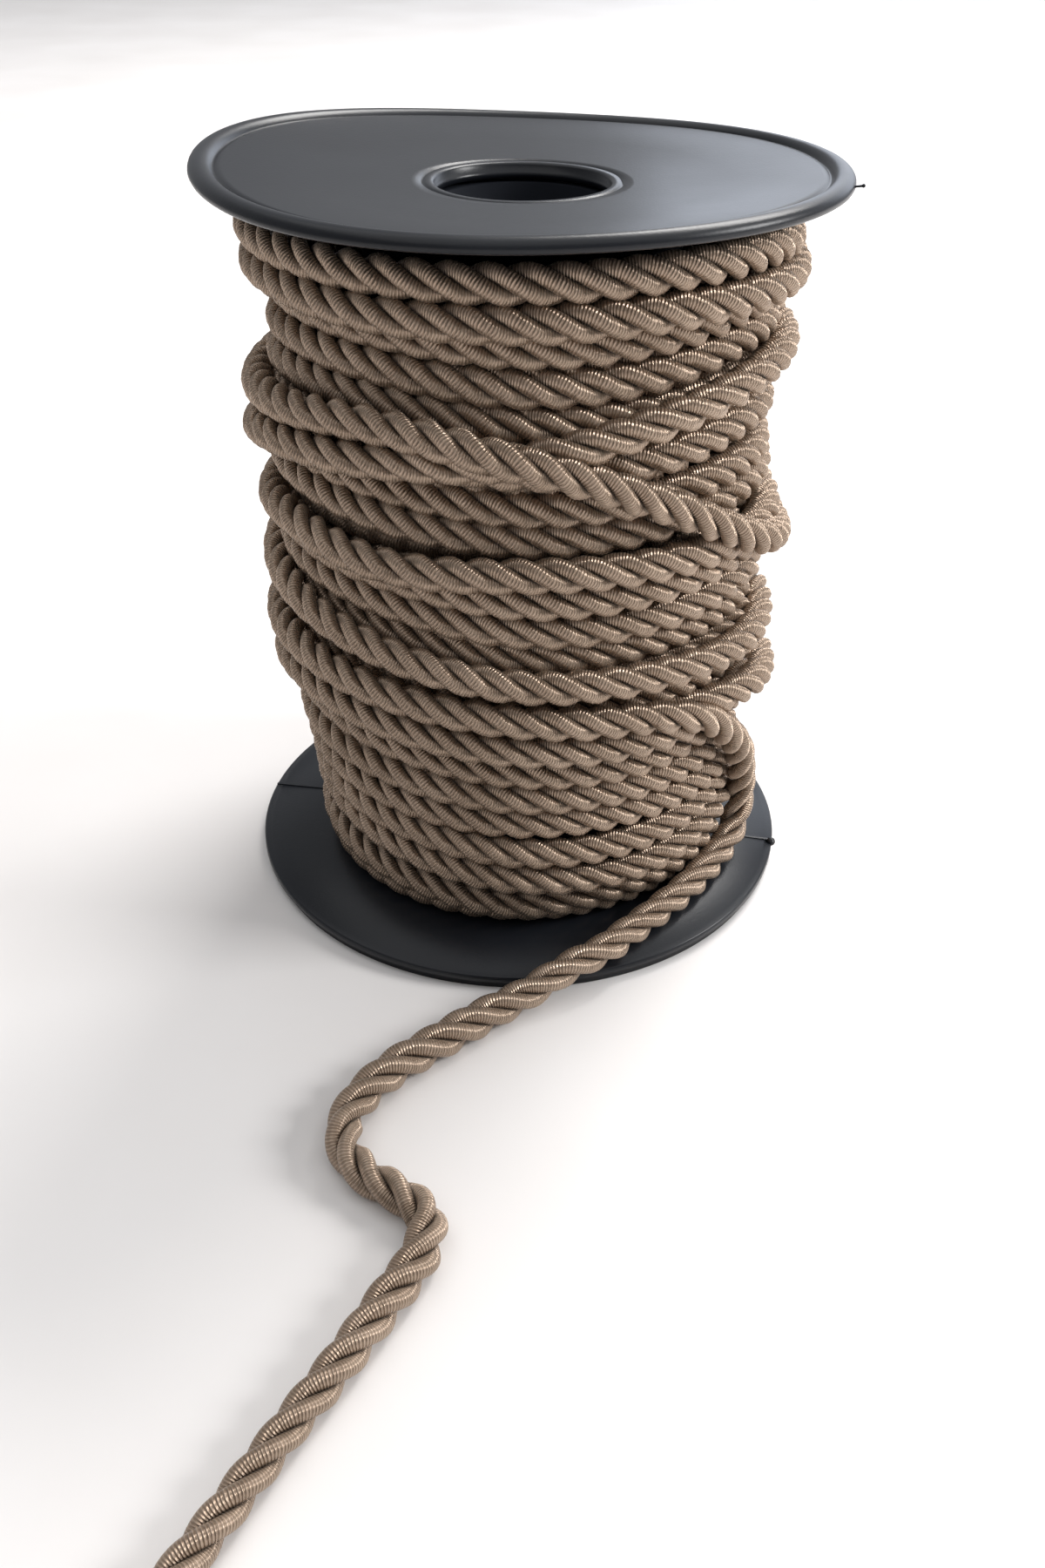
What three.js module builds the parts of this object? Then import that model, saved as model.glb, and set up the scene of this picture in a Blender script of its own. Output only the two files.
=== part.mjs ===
// A twisted three-strand cord wound on a plastic spool, with its loose end lying on the floor.
// Millimetres, +Z up. The origin is the centre of the spool's foot, and the loose end leaves towards -Y.
import * as THREE from "three";

// Spool.
const FLANGE_RADIUS = 50;
const BORE_RADIUS = 13.6;
const FLANGE_PLATE = 3.3;
const EDGE_SETBACK = 0.8;
const EDGE_ROUNDING = 0.4;
const FOOT_HEIGHT = 1.3;
const UPPER_FACE = 118.3;
const FACE_RISE = 1.1;
const RIM_FACE = 121.5;
const RIM_TOP = 123.9;
const BEAD_WIDTH = 3.6;
const BEAD_HEIGHT = 1.5;
const BEAD_DROP = 0.7;
const DISH_FACE = 120.6;
const DISH_RISE = 0.9;
const COLLAR_WIDTH = 1.5;
const SLIT_SIZE = 0.5;
const BARREL_RADIUS = 25;
const BARREL_BORE = 12.4;
const FLANGE_SIDES = 48;
const BARREL_SIDES = 32;
const GAP = 0.3;

// The upper flange is warped like a crisp: heights of its first three waves round the rim.
const RIM_WAVES = [
  { turns: 1, cosine: -0.74, sine: -0.43 },
  { turns: 2, cosine: 0.72, sine: -0.57 },
  { turns: 3, cosine: -0.12, sine: 0.33 },
];

// Cord.
const CORD_DIAMETER = 5.5;
const CORD_RADIUS = CORD_DIAMETER / 2;
const FREE_LAY = 17.5;
const LOBES = 3;
const LOBE_DEPTH = 0.3;
const LOBE_SHARPNESS = 0.8;

// Winding.
const WINDING_FOOT = FLANGE_PLATE + GAP;
const WINDING_TOP = 118.4;
const WINDING_INNER_TOP = 117.6;
const COLUMNS = 60;
const ROWS = 68;
const KNOTS_A_TURN = 12;
const SAMPLES_A_KNOT = COLUMNS / KNOTS_A_TURN;
const FRONT_KNOTS = 7;
const LEAD_IN_SHARES = [0, 0.5, 1];
const SMOOTHING_SAMPLES = 2;
const ROUTE_SAMPLES = 240;
const SUNK_REACH = 37.5;
const SURFACE_REACH = 40.5;
const LOW_FLOOR = 36.5;
const HIGH_FLOOR = 38.2;
const FLOOR_STEP = 36;
const STACK_HEIGHT = 4.2;
const STACK_SOFTNESS = 0.8;
const LOOSE_END_CLEARANCE = 1;
const LOOSE_END_SPREAD = 4.6;
const STEP_LENGTH = 1.6;
const CORD_SIDES = 12;

// One row a turn, front only. Its heights stand at even steps from the left end to the right
// end, and its reach, the distance of the cord's centre from the axis, at the left, front and
// right. The turn named in "next" follows round the back.
const TURNS = {
  a: { heights: [115.8, 116.2, 116.1, 116.2, 116.5, 116.0, 114.0], reach: [41.6, 41.5, 41.0], next: "b" },
  b: { heights: [110.6, 111.3, 110.8, 110.9, 111.2, 110.6, 109.9], reach: [41.3, 41.4, 42.4], next: "c" },
  c: { heights: [107.6, 107.9, 107.7, 106.7, 107.1, 107.9, 106.9], reach: [37.6, 38.6, 38.4], next: "d" },
  d: { heights: [101.6, 102.6, 102.4, 101.0, 101.6, 103.1, 101.6], reach: [38.0, 38.2, 38.4], next: "e" },
  e: { heights: [96.4, 97.6, 97.4, 95.8, 96.2, 97.2, 96.0], reach: [38.4, 38.2, 38.2], next: "f" },
  f: { heights: [91.0, 91.6, 90.6, 89.0, 89.1, 90.4, 89.0], reach: [38.0, 38.6, 38.8], next: "g" },
  g: { heights: [85.0, 84.6, 84.4, 83.0, 82.9, 83.1, 82.2], reach: [38.0, 38.0, 38.8], next: "h" },
  h: { heights: [80.4, 80.7, 79.6, 78.4, 78.5, 79.3, 78.4], reach: [39.4, 38.4, 39.4], next: "i" },
  i: { heights: [72.4, 74.4, 73.4, 74.2, 73.6, 72.3, 71.0], reach: [41.9, 41.8, 41.6], next: "j" },
  j: { heights: [70.2, 70.6, 70.9, 69.1, 68.8, 69.0, 68.0], reach: [38.5, 40.2, 40.4], next: "k" },
  k: { heights: [83.6, 87.7, 89.9, 92.0, 96.0, 98.6, 98.9], reach: [43.4, 41.8, 41.8], next: "l" },
  l: { heights: [91.6, 93.3, 95.4, 92.6, 83.4, 72.0, 66.2], reach: [42.8, 42.6, 43.6], next: "m" },
  m: { heights: [62.3, 61.1, 58.4, 55.5, 54.4, 52.5, 51.0], reach: [42.1, 42.0, 42.5], next: "n" },
  n: { heights: [51.0, 51.7, 50.9, 49.1, 47.2], reach: [42.5, 42.0, 42.6] },
  o: { heights: [66.0, 66.3, 65.7, 63.7, 63.2, 62.9, 62.0], reach: [38.8, 39.2, 39.4], next: "q" },
  p: { heights: [61.0, 61.1, 60.4, 58.6, 58.2, 57.9, 56.6], reach: [37.4, 37.8, 38.2], next: "r" },
  q: { heights: [56.0, 56.0, 55.2, 53.6, 53.2, 53.0, 52.0], reach: [37.2, 37.4, 38.6], next: "s" },
  r: { heights: [51.2, 51.0, 50.2, 48.6, 47.8, 46.6, 44.0], reach: [37.2, 37.4, 38.0], next: "t" },
  s: { heights: [46.0, 47.0, 46.6, 45.6, 44.6, 43.4, 39.6], reach: [38.4, 38.0, 42.0] },
  t: { heights: [43.0, 45.6, 44.9, 43.1, 41.9, 41.0, 39.5], reach: [41.8, 41.2, 40.6], next: "u" },
  u: { heights: [40.2, 40.3, 39.1, 37.3, 36.1, 36.1, 35.6], reach: [38.5, 38.5, 38.2], next: "v" },
  v: { heights: [33.4, 33.6, 33.3, 32.1, 31.3, 30.4, 29.6], reach: [38.0, 38.4, 38.0], next: "w" },
  w: { heights: [28.3, 28.1, 27.7, 26.8, 26.3, 24.9, 23.9], reach: [37.0, 37.8, 38.6], next: "x" },
  x: { heights: [23.6, 23.6, 22.8, 21.0, 20.3, 20.4, 20.2], reach: [36.3, 38.6, 38.4], next: "y" },
  y: { heights: [20.2, 19.6, 17.5, 15.2, 14.1, 14.8, 15.4], reach: [36.0, 38.4, 39.0], next: "z" },
  z: { heights: [10.4, 10.2, 9.5, 7.8, 9.1, 9.0, 9.0], reach: [35.6, 36.0, 38.0], next: "last" },
  last: { heights: [7.4, 7.0, 6.6, 6.4, 6.4, 6.4, 6.4], reach: [34.8, 34.6, 36.0] },
};
// The first turn of each run of cord, in the order in which the runs were laid.
const RUN_STARTS = ["p", "o", "a"];
const LOOSE_TURN = "n";

// The loose end's route, chosen by hand: off the winding's right side, down over the lower
// flange and across the floor.
const LOOSE_END = [
  [21.2, -36.6, 47.2],
  [30.3, -30.3, 43.0],
  [34.3, -25.9, 38.8],
  [37.2, -21.5, 33.8],
  [39.3, -17.5, 28.8],
  [40.4, -14.7, 23.7],
  [41.5, -11.1, 17.1],
  [41.7, -10.4, 12.6],
  [41.1, -11.6, 9.0],
  [39.6, -14.7, 7.1],
  [36.8, -19.6, 6.5],
  [33.7, -24.6, 6.5],
  [30.3, -29.4, 6.5],
  [26.7, -33.7, 6.5],
  [22.9, -38.0, 6.5],
  [18.9, -42.2, 6.5],
  [15.4, -46.2, 6.7],
  [8.4, -50.8, 6.0],
  [1.3, -54.8, 3.7],
  [-6.2, -60.1, 3.2],
  [-13.0, -65.8, 3.2],
  [-19.5, -71.5, 3.2],
  [-24.0, -77.3, 3.1],
  [-26.1, -83.0, 3.0],
  [-25.0, -88.8, 3.0],
  [-21.0, -93.4, 3.0],
  [-16.0, -96.8, 3.1],
  [-12.7, -100.7, 3.1],
  [-13.2, -106.6, 3.1],
  [-17.1, -113.8, 3.1],
  [-22.7, -123.6, 3.0],
  [-28.0, -132.2, 2.9],
  [-31.9, -139.0, 2.9],
  [-37.9, -149.4, 2.9],
  [-45.8, -162.2, 2.9],
  [-53.0, -174.2, 2.9],
];

const plastic = new THREE.MeshStandardMaterial({ color: 0x3a3d42, roughness: 0.55, metalness: 0 });
const fabric = new THREE.MeshStandardMaterial({ color: 0x8d7862, roughness: 0.7, metalness: 0 });

function meshOf(name, geometry, material) {
  const mesh = new THREE.Mesh(geometry, material);
  mesh.name = name;
  return mesh;
}

// A turned piece standing upright, from profile points of radius and height.
function turned(profile, sides) {
  const points = [...profile, profile[0]].map(([radius, height]) => new THREE.Vector2(radius, height));
  return new THREE.LatheGeometry(points, sides).rotateX(Math.PI / 2);
}

function rimWarp(angle, radius) {
  let height = 0;
  for (const { turns, cosine, sine } of RIM_WAVES) {
    height += cosine * Math.cos(turns * angle) + sine * Math.sin(turns * angle);
  }
  return height * (radius / FLANGE_RADIUS) ** 2;
}

function upperFlange() {
  const middle = (BORE_RADIUS + FLANGE_RADIUS) / 2;
  const beadInner = FLANGE_RADIUS - BEAD_WIDTH;
  const slit = BORE_RADIUS + COLLAR_WIDTH;
  const geometry = turned([
    [BORE_RADIUS, UPPER_FACE],
    [middle, UPPER_FACE + FACE_RISE],
    [beadInner, RIM_FACE],
    [FLANGE_RADIUS - EDGE_SETBACK, RIM_FACE + EDGE_ROUNDING],
    [FLANGE_RADIUS, RIM_TOP - BEAD_HEIGHT],
    [FLANGE_RADIUS, RIM_TOP - 2 * EDGE_ROUNDING],
    [FLANGE_RADIUS - EDGE_SETBACK, RIM_TOP - EDGE_ROUNDING / 2],
    [FLANGE_RADIUS - BEAD_WIDTH / 2, RIM_TOP],
    [beadInner + EDGE_SETBACK, RIM_TOP - EDGE_ROUNDING],
    [beadInner, RIM_TOP - BEAD_DROP],
    [middle, DISH_FACE + DISH_RISE],
    [slit + SLIT_SIZE, DISH_FACE],
    [slit + SLIT_SIZE / 2, DISH_FACE - SLIT_SIZE],
    [slit, DISH_FACE],
    [BORE_RADIUS, DISH_FACE],
  ], FLANGE_SIDES);
  const place = geometry.attributes.position;
  for (let i = 0; i < place.count; i += 1) {
    const radius = Math.hypot(place.getX(i), place.getY(i));
    const angle = Math.atan2(place.getY(i), place.getX(i));
    place.setZ(i, place.getZ(i) + rimWarp(angle, radius));
  }
  return geometry;
}

function lowerFlange() {
  return turned([
    [BORE_RADIUS, 0],
    [FLANGE_RADIUS - EDGE_SETBACK, 0],
    [FLANGE_RADIUS - EDGE_SETBACK, FOOT_HEIGHT],
    [FLANGE_RADIUS, FOOT_HEIGHT + EDGE_ROUNDING],
    [FLANGE_RADIUS, FLANGE_PLATE - EDGE_ROUNDING],
    [FLANGE_RADIUS - EDGE_ROUNDING, FLANGE_PLATE],
    [BORE_RADIUS, FLANGE_PLATE],
  ], FLANGE_SIDES);
}

function barrel() {
  const foot = FLANGE_PLATE + GAP;
  const top = UPPER_FACE - 2 * GAP;
  return turned([
    [BARREL_BORE, foot],
    [BARREL_RADIUS, foot],
    [BARREL_RADIUS, top],
    [BARREL_BORE, top],
  ], BARREL_SIDES);
}

// Eased part of the way from one value to another.
function ease(from, to, share) {
  return from + (to - from) * share * share * (3 - 2 * share);
}

// Height and reach of a run at every twelfth of a turn, front from the table and back eased.
function runKnots(start) {
  const first = TURNS[start];
  const leadIn = LEAD_IN_SHARES.map((share) => (
    { height: first.heights[0], reach: ease(SUNK_REACH, first.reach[0], share) }
  ));
  const knots = [...leadIn];
  for (let row = first; row; row = TURNS[row.next]) {
    const [left, front, right] = row.reach;
    row.heights.forEach((height, index) => {
      const share = (index / (FRONT_KNOTS - 1)) * 2;
      const reach = share < 1 ? ease(left, front, share) : ease(front, right, share - 1);
      knots.push({ height, reach });
    });
    const next = TURNS[row.next];
    const backKnots = KNOTS_A_TURN - FRONT_KNOTS;
    if (row !== TURNS[LOOSE_TURN]) {
      for (let index = 1; index <= backKnots; index += 1) {
        const share = index / (backKnots + 1);
        const height = ease(row.heights.at(-1), next ? next.heights[0] : row.heights.at(-1), share);
        const reach = ease(right, next ? next.reach[0] : SUNK_REACH, share);
        knots.push({ height, reach });
      }
    }
  }
  return knots;
}

// Smooth samples of a run, each with the column of the winding that it stands in.
function runSamples(start) {
  const knots = runKnots(start);
  const heights = new THREE.SplineCurve(knots.map((knot, index) => new THREE.Vector2(index, knot.height)));
  const reaches = new THREE.SplineCurve(knots.map((knot, index) => new THREE.Vector2(index, knot.reach)));
  const count = (knots.length - 1) * SAMPLES_A_KNOT;
  const leadIn = LEAD_IN_SHARES.length * SAMPLES_A_KNOT;
  return Array.from({ length: count + 1 }, (_, index) => ({
    column: (index - leadIn + COLUMNS) % COLUMNS,
    height: heights.getPoint(index / count).y,
    reach: reaches.getPoint(index / count).y,
  }));
}

// A turn that crosses earlier ones is lifted over them.
function stackRuns() {
  const laid = Array.from({ length: COLUMNS }, () => []);
  return RUN_STARTS.map((start) => {
    const samples = runSamples(start);
    const lifted = samples.map((sample) => {
      const reach = laid[sample.column].reduce((best, other) => {
        const apart = Math.abs(other.height - sample.height);
        const resting = sample.reach >= SURFACE_REACH && other.reach >= SURFACE_REACH;
        const rise = Math.sqrt(Math.max(0, STACK_HEIGHT ** 2 - apart ** 2)) * STACK_SOFTNESS;
        return resting && apart < STACK_HEIGHT ? Math.max(best, other.reach + rise) : best;
      }, sample.reach);
      laid[sample.column].push({ height: sample.height, reach });
      return reach;
    });
    return samples.map((sample, index) => {
      const near = lifted.slice(Math.max(0, index - SMOOTHING_SAMPLES), index + SMOOTHING_SAMPLES + 1);
      return { ...sample, reach: near.reduce((sum, reach) => sum + reach, 0) / near.length };
    });
  });
}

function looseEndPath() {
  const points = LOOSE_END.map((point) => new THREE.Vector3(...point));
  return new THREE.CatmullRomCurve3(points, false, "centripetal");
}

// How far the winding may reach at a place, so that it stays clear of the loose end.
function reachBesideLooseEnd(angle, height, path) {
  return path.reduce((limit, point) => {
    const reach = Math.hypot(point.x, point.y);
    const along = Math.atan2(point.y, point.x) - angle;
    const aside = reach * Math.atan2(Math.sin(along), Math.cos(along));
    const apart = Math.hypot(aside, point.z - height);
    return apart < LOOSE_END_SPREAD ? Math.min(limit, reach - CORD_RADIUS - LOOSE_END_CLEARANCE) : limit;
  }, Infinity);
}

// The winding as one ring whose outside follows the highest turn at each place.
function winding() {
  const runs = stackRuns();
  const path = looseEndPath().getSpacedPoints(ROUTE_SAMPLES);
  const floorOf = (height) => (height < FLOOR_STEP ? LOW_FLOOR : HIGH_FLOOR);
  const reaches = [];
  const points = [];
  const index = [];
  for (let column = 0; column < COLUMNS; column += 1) {
    const angle = Math.PI + (column / COLUMNS) * 2 * Math.PI;
    const turns = runs.flat().filter((sample) => sample.column === column);
    for (let row = 0; row <= ROWS; row += 1) {
      const height = WINDING_FOOT + ((WINDING_TOP - WINDING_FOOT) * row) / ROWS;
      const crest = turns.reduce((reach, turn) => {
        const across = CORD_RADIUS ** 2 - (height - turn.height) ** 2;
        return across > 0 ? Math.max(reach, turn.reach + Math.sqrt(across)) : reach;
      }, floorOf(height));
      const reach = Math.min(crest, reachBesideLooseEnd(angle, height, path));
      reaches.push(reach);
      points.push(reach * Math.cos(angle), reach * Math.sin(angle), height);
    }
    for (const height of [WINDING_FOOT, WINDING_INNER_TOP]) {
      const reach = BARREL_RADIUS + GAP;
      reaches.push(reach);
      points.push(reach * Math.cos(angle), reach * Math.sin(angle), height);
    }
  }
  const strip = ROWS + 3;
  // Each face is split along the diagonal that runs with the cord.
  const quad = (a, b, c, d) => {
    const rising = Math.abs(reaches[a] - reaches[c]) <= Math.abs(reaches[b] - reaches[d]);
    index.push(...(rising ? [a, b, c, a, c, d] : [b, c, d, b, d, a]));
  };
  for (let column = 0; column < COLUMNS; column += 1) {
    const here = column * strip;
    const there = ((column + 1) % COLUMNS) * strip;
    const foot = ROWS + 1;
    const top = ROWS + 2;
    for (let row = 0; row < ROWS; row += 1) {
      quad(here + row, there + row, there + row + 1, here + row + 1);
    }
    quad(here + ROWS, there + ROWS, there + top, here + top);
    quad(here + top, there + top, there + foot, here + foot);
    quad(here + foot, there + foot, there, here);
  }
  const geometry = new THREE.BufferGeometry();
  geometry.setAttribute("position", new THREE.Float32BufferAttribute(points, 3));
  geometry.setIndex(index);
  geometry.computeVertexNormals();
  return geometry;
}

// The loose end: a round section along the route, its points then moved to the three strands' lobes.
function looseEnd() {
  const path = looseEndPath();
  const length = path.getLength();
  const steps = Math.round(length / STEP_LENGTH);
  const section = new THREE.Shape(Array.from({ length: CORD_SIDES }, (_, side) => {
    const angle = (side / CORD_SIDES) * 2 * Math.PI;
    return new THREE.Vector2(CORD_RADIUS * Math.cos(angle), CORD_RADIUS * Math.sin(angle));
  }));
  const geometry = new THREE.ExtrudeGeometry(section, { steps, extrudePath: path, bevelEnabled: false });
  const centres = path.getSpacedPoints(steps);
  const frames = path.computeFrenetFrames(steps, false);
  const place = geometry.attributes.position;
  for (let i = 0; i < place.count; i += 1) {
    const point = new THREE.Vector3().fromBufferAttribute(place, i);
    const misses = centres.map((centre, step) => {
      const arm = point.clone().sub(centre);
      return Math.abs(arm.dot(frames.tangents[step])) + Math.abs(arm.length() - CORD_RADIUS);
    });
    const step = misses.indexOf(Math.min(...misses));
    const arm = point.clone().sub(centres[step]);
    const angle = Math.atan2(arm.dot(frames.binormals[step]), arm.dot(frames.normals[step]));
    const twist = (2 * Math.PI * length * step) / (steps * FREE_LAY);
    const lobe = Math.abs(Math.cos(((angle - twist) * LOBES) / 2)) ** LOBE_SHARPNESS;
    const scale = 1 - LOBE_DEPTH * (1 - lobe);
    place.setXYZ(i, ...centres[step].clone().addScaledVector(arm, scale).toArray());
  }
  geometry.computeVertexNormals();
  return geometry;
}

const spoolOfCord = new THREE.Group();
spoolOfCord.add(
  meshOf("flange_bottom", lowerFlange(), plastic),
  meshOf("barrel", barrel(), plastic),
  meshOf("flange_top", upperFlange(), plastic),
  meshOf("winding", winding(), fabric),
  meshOf("cord_tail", looseEnd(), fabric),
);

export default spoolOfCord;
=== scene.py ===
"""Looks of a twisted cord wound on a plastic spool, with its loose end on the floor.

Lengths are in millimetres until a mesh is made, where MM turns them into metres. The camera, the
floor, the lights and the depth of bumps are in metres.
"""

import math

import bmesh
import bpy
import numpy as np
from mathutils import Matrix, Vector

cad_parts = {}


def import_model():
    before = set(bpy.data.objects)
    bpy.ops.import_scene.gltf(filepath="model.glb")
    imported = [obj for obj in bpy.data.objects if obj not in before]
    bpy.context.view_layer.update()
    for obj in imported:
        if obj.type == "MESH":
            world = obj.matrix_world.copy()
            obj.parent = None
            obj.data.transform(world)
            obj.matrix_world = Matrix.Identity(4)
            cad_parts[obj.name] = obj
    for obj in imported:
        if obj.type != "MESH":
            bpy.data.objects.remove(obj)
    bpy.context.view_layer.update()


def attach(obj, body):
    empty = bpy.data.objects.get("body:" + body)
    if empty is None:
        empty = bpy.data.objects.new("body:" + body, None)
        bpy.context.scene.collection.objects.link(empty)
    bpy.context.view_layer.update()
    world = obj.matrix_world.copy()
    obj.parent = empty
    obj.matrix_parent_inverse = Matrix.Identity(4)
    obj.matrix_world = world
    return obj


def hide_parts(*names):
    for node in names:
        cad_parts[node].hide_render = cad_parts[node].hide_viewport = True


MM = 0.001

# Camera, fitted to the outlines of both flanges and the hole.
CAMERA_PLACE = (0.0, -0.23305, 0.1678)
CAMERA_PITCH = 34.30
CAMERA_ROLL = 0.43
CAMERA_YAW = 0.17
FOCAL_PIXELS = 1645
FRAME_HEIGHT = 1800
SENSOR = 36
NEAREST_SEEN = 0.01

# Cord.
STRANDS = 3
STRAND_CENTRE = 1.42
STRAND_THICK = 1.36
STRAND_WIDE = 1.42
SECTION_SAMPLES = 721
WOUND_LAY = 15.3
LOWER_LAY = 14.4
FREE_LAY = 17.5
LAY_CHANGE = 12
LOWER_PHASE = 0.7
MIDDLE_PHASE = 1.9
WOUND_SQUASH = (0.96, 1.03)
THREAD_SLANT = 0.5

# Winding, as the turns lie on the spool.
KNOTS_A_TURN = 12
FRONT_KNOTS = 7
SAMPLES_A_KNOT = 30
COLUMNS = KNOTS_A_TURN * SAMPLES_A_KNOT
LEAD_IN_SHARES = (0, 0.5, 1)
SUNK_REACH = 34.5
SURFACE_REACH = 40.5
STACK_HEIGHT = 4.2
STACK_SOFTNESS = 0.8
SMOOTHING_SAMPLES = 12
UNDER_REACH = 36.2
UNDER_PITCH = 5.1
UNDER_HEIGHTS = (32.1, 114.5)

# One row a turn, front only: heights at even steps from the left end to the right end, reach of
# the cord's centre from the axis at the left, front and right, and the turn that follows.
TURNS = {
    "a": ((115.8, 116.2, 116.1, 116.2, 116.5, 116.0, 114.0), (41.6, 41.5, 41.0), "b"),
    "b": ((110.6, 111.3, 110.8, 110.9, 111.2, 110.6, 109.9), (41.3, 41.4, 42.4), "c"),
    "c": ((107.6, 107.9, 107.7, 106.7, 107.1, 107.9, 106.9), (37.6, 38.6, 38.4), "d"),
    "d": ((101.6, 102.6, 102.4, 101.0, 101.6, 103.1, 101.6), (38.0, 38.2, 38.4), "e"),
    "e": ((96.4, 97.6, 97.4, 95.8, 96.2, 97.2, 96.0), (38.4, 38.2, 38.2), "f"),
    "f": ((91.0, 91.6, 90.6, 89.0, 89.1, 90.4, 89.0), (38.0, 38.6, 38.8), "g"),
    "g": ((85.0, 84.6, 84.4, 83.0, 82.9, 83.1, 82.2), (38.0, 38.0, 38.8), "h"),
    "h": ((80.4, 80.7, 79.6, 78.4, 78.5, 79.3, 78.4), (39.4, 38.4, 39.4), "i"),
    "i": ((72.4, 74.4, 73.4, 74.2, 73.6, 72.3, 71.0), (41.9, 41.8, 41.6), "j"),
    "j": ((70.2, 70.6, 70.9, 69.1, 68.8, 69.0, 68.0), (38.5, 40.2, 40.4), "k"),
    "k": ((83.6, 87.7, 89.9, 92.0, 96.0, 98.6, 98.9), (43.4, 41.8, 41.8), "l"),
    "l": ((91.6, 93.3, 95.4, 92.6, 83.4, 72.0, 66.2), (42.8, 42.6, 43.6), "m"),
    "m": ((62.3, 61.1, 58.4, 55.5, 54.4, 52.5, 51.0), (42.1, 42.0, 42.5), "n"),
    "n": ((51.0, 51.7, 50.9, 49.1, 47.2), (42.5, 42.0, 42.6), None),
    "o": ((66.0, 66.3, 65.7, 63.7, 63.2, 62.9, 62.0), (38.8, 39.2, 39.4), "q"),
    "p": ((61.0, 61.1, 60.4, 58.6, 58.2, 57.9, 56.6), (37.4, 37.8, 38.2), "r"),
    "q": ((56.0, 56.0, 55.2, 53.6, 53.2, 53.0, 52.0), (37.2, 37.4, 38.6), "s"),
    "r": ((51.2, 51.0, 50.2, 48.6, 47.8, 46.6, 44.0), (37.2, 37.4, 38.0), "t"),
    "s": ((46.0, 47.0, 46.6, 45.6, 44.6, 43.4, 39.6), (38.4, 38.0, 42.0), None),
    "t": ((43.0, 45.6, 44.9, 43.1, 41.9, 41.0, 39.5), (41.8, 41.2, 40.6), "u"),
    "u": ((40.2, 40.3, 39.1, 37.3, 36.1, 36.1, 35.6), (38.5, 38.5, 38.2), "v"),
    "v": ((33.4, 33.6, 33.3, 32.1, 31.3, 30.4, 29.6), (38.0, 38.4, 38.0), "w"),
    "w": ((28.3, 28.1, 27.7, 26.8, 26.3, 24.9, 23.9), (37.0, 37.8, 38.6), "x"),
    "x": ((23.6, 23.6, 22.8, 21.0, 20.3, 20.4, 20.2), (36.3, 38.6, 38.4), "y"),
    "y": ((20.2, 19.6, 17.5, 15.2, 14.1, 14.8, 15.4), (36.0, 38.4, 39.0), "z"),
    "z": ((10.4, 10.2, 9.5, 7.8, 9.1, 9.0, 9.0), (35.6, 36.0, 38.0), "last"),
    "last": ((7.4, 7.0, 6.6, 6.4, 6.4, 6.4, 6.4), (34.8, 34.6, 36.0), None),
}
RUN_STARTS = ("p", "o", "a")
LOOSE_TURN = "n"

# The loose end's route: off the winding's right side, down over the lower flange and across the
# floor. Its places were picked on the photograph, turned into millimetres through the fitted
# camera and then moved a little.
LOOSE_END = (
    (21.2, -36.6, 47.2),
    (30.3, -30.3, 43.0),
    (34.3, -25.9, 38.8),
    (37.2, -21.5, 33.8),
    (39.3, -17.5, 28.8),
    (40.4, -14.7, 23.7),
    (41.5, -11.1, 17.1),
    (41.7, -10.4, 12.6),
    (41.1, -11.6, 9.0),
    (39.6, -14.7, 7.1),
    (36.8, -19.6, 6.5),
    (33.7, -24.6, 6.5),
    (30.3, -29.4, 6.5),
    (26.7, -33.7, 6.5),
    (22.9, -38.0, 6.5),
    (18.9, -42.2, 6.5),
    (15.4, -46.2, 6.7),
    (8.4, -50.8, 6.0),
    (1.3, -54.8, 3.7),
    (-6.2, -60.1, 3.2),
    (-13.0, -65.8, 3.2),
    (-19.5, -71.5, 3.2),
    (-24.0, -77.3, 3.1),
    (-26.1, -83.0, 3.0),
    (-25.0, -88.8, 3.0),
    (-21.0, -93.4, 3.0),
    (-16.0, -96.8, 3.1),
    (-12.7, -100.7, 3.1),
    (-13.2, -106.6, 3.1),
    (-17.1, -113.8, 3.1),
    (-22.7, -123.6, 3.0),
    (-28.0, -132.2, 2.9),
    (-31.9, -139.0, 2.9),
    (-37.9, -149.4, 2.9),
    (-45.8, -162.2, 2.9),
    (-53.0, -174.2, 2.9),
)
ROUTE_STEPS = 24
JOIN_REACH = 4

# How thick the loose end is, against the wound cord, at lengths along it.
LOOSE_THICKNESS = (
    (0, 1.0), (112, 1.0), (128, 1.13), (145, 1.12), (157, 1.04), (178, 1.05), (190, 1.1), (204, 1.0),
    (216, 0.93), (264, 0.92),
)

# Mesh fineness.
WOUND_STEP = 0.85
LOOSE_STEP = 0.5
UNDER_STEP = 1.6
WOUND_SIDES = 11
LOOSE_SIDES = 15
UNDER_SIDES = 6
SPOOL_SIDES = 192
NO_TURN = 1e-9

# Spool.
FLANGE_RADIUS = 50
BORE_RADIUS = 13.6
BORE_STEP = 0.35
FLANGE_PLATE = 3.3
BARREL_RADIUS = 25
BARREL_BORE = 12.4
BARREL_FOOT = 3.6
BARREL_TOP = 117.7
UPPER_FACE = 118.3
FACE_RISE = 1.1
RIM_FACE = 121.5
RIM_TOP = 123.9
BEAD_WIDTH = 3.6
BEAD_HEIGHT = 1.5
BEAD_DROP = 0.7
BEAD_ARC = 0.86 * math.pi
BEAD_STEPS = 14
DISH_FACE = 120.6
DISH_RISE = 0.9
COLLAR_WIDTH = 1.5
SLIT_SIZE = 0.5
LEDGE_WIDTH = 2
LEDGE_RISE = 0.06

# The upper flange's warp, as waves round the rim: turns, cosine and sine. They come from a fit to
# the rim's outline, but the first sine was given outside the fit.
RIM_WAVES = ((1, -0.74, -0.43), (2, 0.72, -0.57), (3, -0.12, 0.33))

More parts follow.
